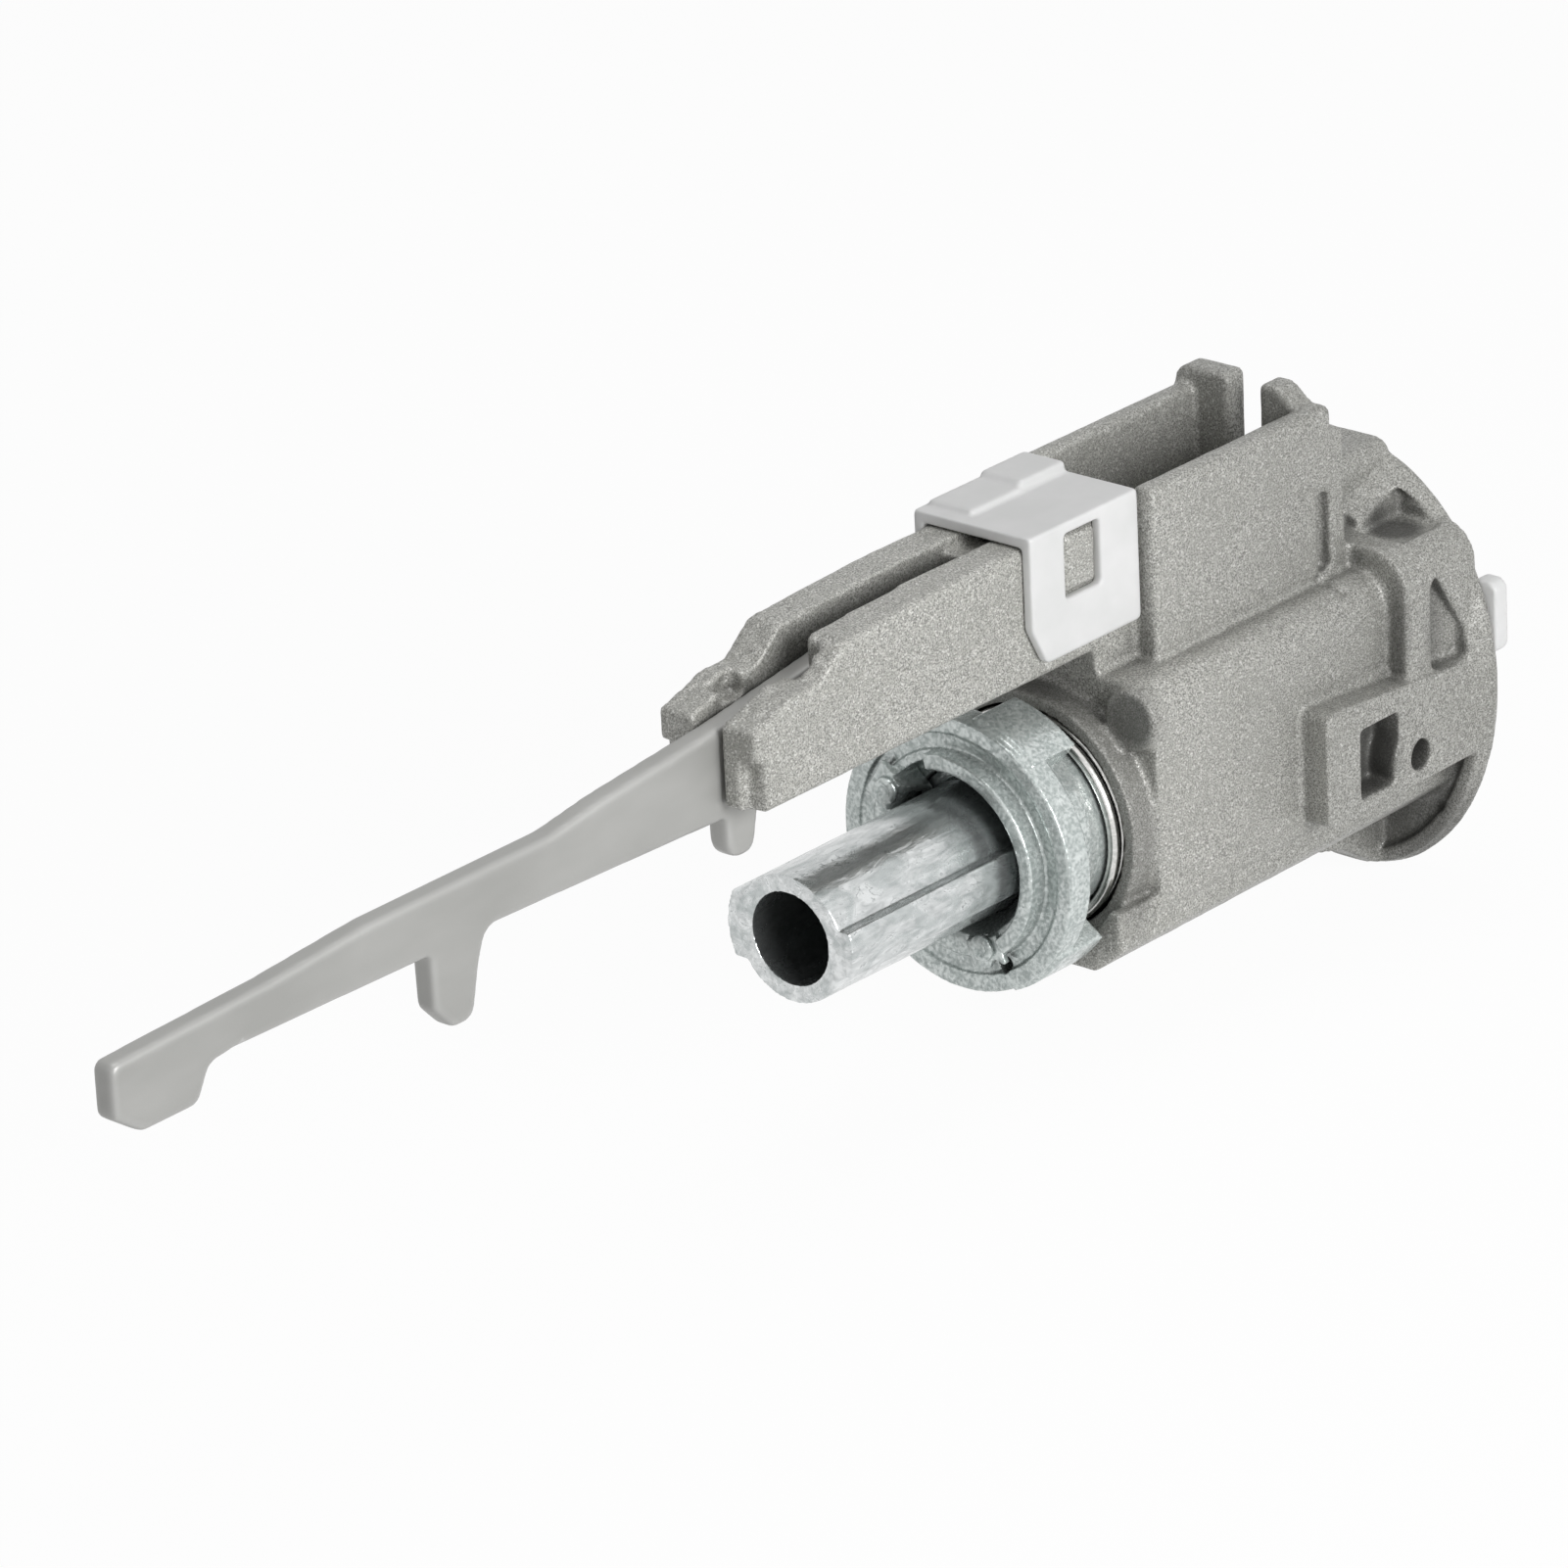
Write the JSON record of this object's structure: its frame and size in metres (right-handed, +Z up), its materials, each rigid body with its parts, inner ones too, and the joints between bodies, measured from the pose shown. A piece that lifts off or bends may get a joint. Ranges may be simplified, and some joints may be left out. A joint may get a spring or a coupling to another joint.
{
  "type": "door lock cylinder",
  "caption": "Vehicle door lock cylinder with a die-cast housing, key plug, ribbed tail shaft and a long lever blade held by a white clip.",
  "frame": {"origin": "centre of the tail tube's open end, on the barrel's axis", "axes": "+X along the barrel from the tail tube to the key face, +Y away from the side lug, +Z up to the lever channel"},
  "size_m": [0.1398, 0.0274, 0.044],
  "materials": {
    "cast_housing": "rough die cast, warm grey",
    "grey_zinc": "die-cast zinc, cool grey, mottled",
    "bright_zinc": "bright die-cast zinc with casting streaks",
    "blade_steel": "smooth satin",
    "pin_steel": "ground",
    "spring_steel": "bright drawn wire",
    "polished_cap": "polished",
    "wafer_brass": "stamped",
    "white_plastic": "milky white, slightly translucent"
  },
  "bodies": {
    "lock_housing": {"housing": "cast_housing", "retaining_clip": "white_plastic", "lever_pivot_pin": "pin_steel", "return_spring": "spring_steel", "lock_sleeve": "grey_zinc", "sleeve_pin": "pin_steel", "face_gasket": "white_plastic", "front_plate": "cast_housing"},
    "key_cylinder": {"key_plug": "grey_zinc", "plug_cap": "polished_cap", "plug_circlip": "spring_steel", "spring_drum": "grey_zinc", "drive_plate": "grey_zinc", "drum_rivets": "grey_zinc", "shutter_pin": "pin_steel", "shutter_spring": "spring_steel", "wafer_spring_1": "spring_steel", "wafer_spring_2": "spring_steel", "wafer_spring_3": "spring_steel", "wafer_spring_4": "spring_steel", "wafer_spring_5": "spring_steel", "wafer_spring_6": "spring_steel"},
    "output_tail": {"tail_shaft": "bright_zinc"},
    "rocking_lever": {"lever_arm": "blade_steel"},
    "dust_shutter": {"shutter_flap": "polished_cap"},
    "wafer_1_body": {"wafer_1": "wafer_brass"},
    "wafer_2_body": {"wafer_2": "wafer_brass"},
    "wafer_3_body": {"wafer_3": "wafer_brass"},
    "wafer_4_body": {"wafer_4": "wafer_brass"},
    "wafer_5_body": {"wafer_5": "wafer_brass"},
    "wafer_6_body": {"wafer_6": "wafer_brass"}
  },
  "joints": [
    {"name": "plug_turn", "type": "hinge", "parent": "lock_housing", "child": "key_cylinder", "pos_m": [0, 0, 0], "axis": [1, 0, 0], "range_deg": [-72, 72], "stiffness_Nm_per_rad": 0.12},
    {"name": "tail_play", "type": "hinge", "parent": "key_cylinder", "child": "output_tail", "pos_m": [0, 0, 0], "axis": [1, 0, 0], "range_deg": [-6, 6]},
    {"name": "lever_swing", "type": "hinge", "parent": "lock_housing", "child": "rocking_lever", "pos_m": [0.0282, 0, 0.0196], "axis": [0, 1, 0], "range_deg": [-3, 3]},
    {"name": "shutter_swing", "type": "hinge", "parent": "key_cylinder", "child": "dust_shutter", "pos_m": [0.06805, -0.00235, 0], "axis": [0, 0, 1], "range_deg": [0, 70], "stiffness_Nm_per_rad": 0.001, "springref_deg": -11.46},
    {"name": "wafer_1_slide", "type": "slide", "parent": "key_cylinder", "child": "wafer_1_body", "axis": [0, 0, 1], "range_m": [0, 0.0006], "stiffness_N_per_m": 60},
    {"name": "wafer_2_slide", "type": "slide", "parent": "key_cylinder", "child": "wafer_2_body", "axis": [0, 0, -1], "range_m": [0, 0.0006], "stiffness_N_per_m": 60},
    {"name": "wafer_3_slide", "type": "slide", "parent": "key_cylinder", "child": "wafer_3_body", "axis": [0, 0, 1], "range_m": [0, 0.0006], "stiffness_N_per_m": 60},
    {"name": "wafer_4_slide", "type": "slide", "parent": "key_cylinder", "child": "wafer_4_body", "axis": [0, 0, -1], "range_m": [0, 0.0006], "stiffness_N_per_m": 60},
    {"name": "wafer_5_slide", "type": "slide", "parent": "key_cylinder", "child": "wafer_5_body", "axis": [0, 0, 1], "range_m": [0, 0.0006], "stiffness_N_per_m": 60},
    {"name": "wafer_6_slide", "type": "slide", "parent": "key_cylinder", "child": "wafer_6_body", "axis": [0, 0, -1], "range_m": [0, 0.0006], "stiffness_N_per_m": 60}
  ]
}
